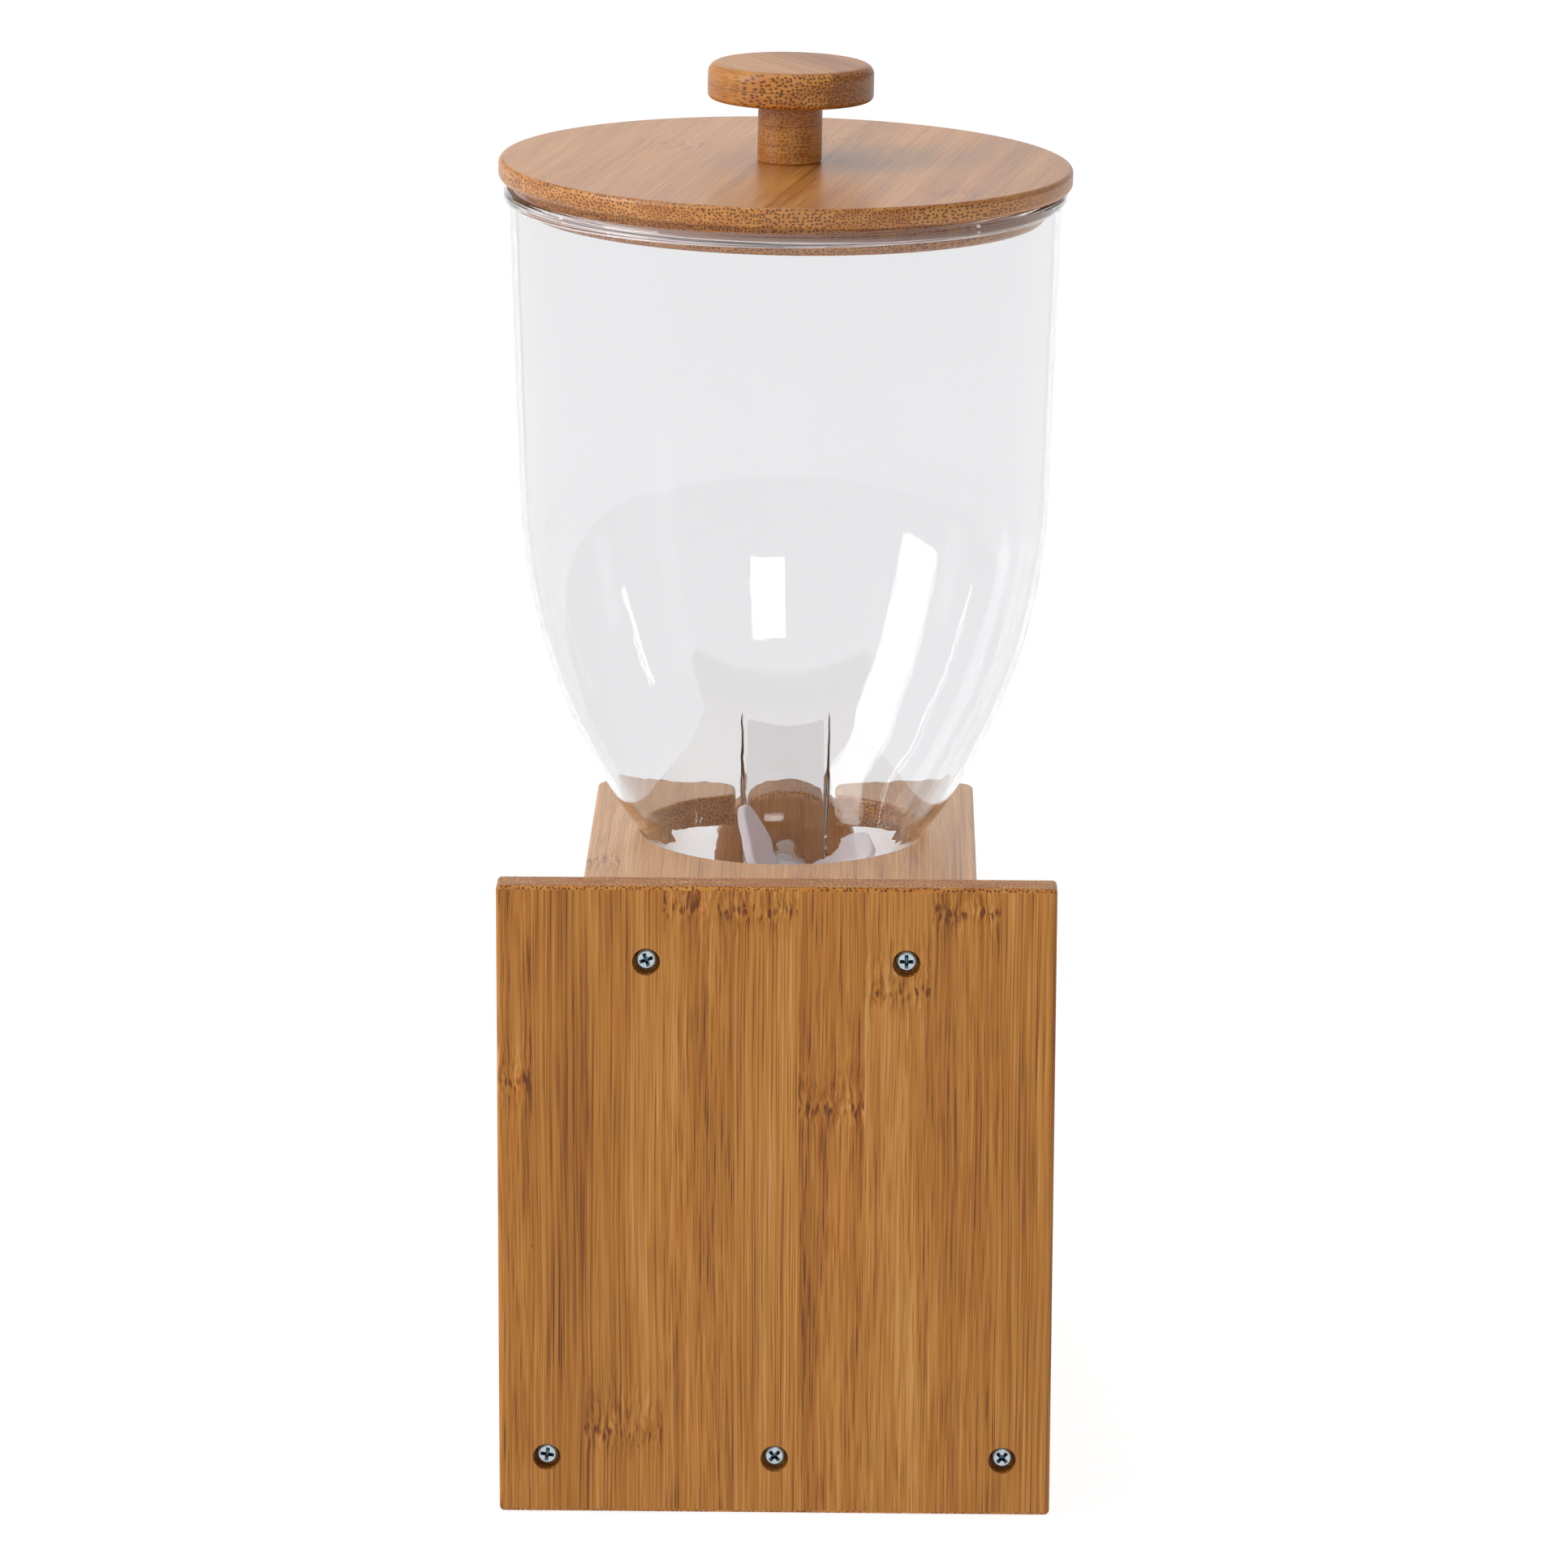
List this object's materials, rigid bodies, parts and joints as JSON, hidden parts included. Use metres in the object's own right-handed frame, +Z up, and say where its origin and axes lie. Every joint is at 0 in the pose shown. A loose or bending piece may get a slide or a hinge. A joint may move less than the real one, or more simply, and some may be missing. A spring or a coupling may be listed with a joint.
{
  "type": "cereal dispenser",
  "caption": "Single dry-food dispenser: clear lift-out container with lid, paddle rotor turned by a front knob, on an upright bamboo stand.",
  "frame": {"origin": "centre of the object's footprint on the table", "axes": "+Z up; the dispensing knob faces -Y and the back board stands at +Y; +X across the board"},
  "size_m": [0.1805, 0.229, 0.4308],
  "materials": {
    "bamboo_panel": "edge-glued bamboo strips, thin satin lacquer",
    "bamboo_shelf": "edge-glued bamboo strips, thin satin lacquer",
    "bamboo_lid": "light bamboo, sanded, thin satin lacquer",
    "bamboo_knob": "light bamboo, turned and sanded",
    "clear_plastic": "clear polished moulding",
    "silicone": "translucent milky silicone",
    "clear_silicone": "translucent silicone ring",
    "white_nylon": "natural white nylon",
    "steel_shaft": "ground stainless steel",
    "zinc_screw": "blue-white zinc plate",
    "foot_rubber": "matte black rubber"
  },
  "bodies": {
    "stand": {"back_panel": "bamboo_panel", "shelf": "bamboo_shelf", "base_board": "bamboo_shelf", "shelf_screws": "zinc_screw", "base_screws": "zinc_screw", "rubber_feet": "foot_rubber", "foot_screws": "zinc_screw"},
    "container": {"hopper": "clear_plastic", "outlet_spout": "clear_plastic", "front_bush": "white_nylon", "rear_bush": "white_nylon"},
    "rotor": {"drive_shaft": "steel_shaft", "wheel_core": "white_nylon", "paddle_wheel": "silicone", "retaining_clip": "steel_shaft", "knob_neck": "bamboo_knob", "dispensing_knob": "bamboo_knob", "knob_screw": "zinc_screw"},
    "lid": {"lid_disc": "bamboo_lid", "lid_plug": "bamboo_lid", "lid_gasket": "clear_silicone", "lid_knob_stem": "bamboo_knob", "lid_knob_cap": "bamboo_knob", "lid_knob_screw": "zinc_screw"}
  },
  "joints": [
    {"name": "container_lift", "type": "slide", "parent": "stand", "child": "container", "axis": [0, 0, 1], "range_m": [0, 0.105]},
    {"name": "rotor_spin", "type": "hinge", "parent": "container", "child": "rotor", "pos_m": [0, -0.02425, 0.154], "axis": [0, 1, 0], "continuous": true},
    {"name": "lid_lift", "type": "slide", "parent": "container", "child": "lid", "axis": [0, 0, 1], "range_m": [0, 0.05]}
  ]
}
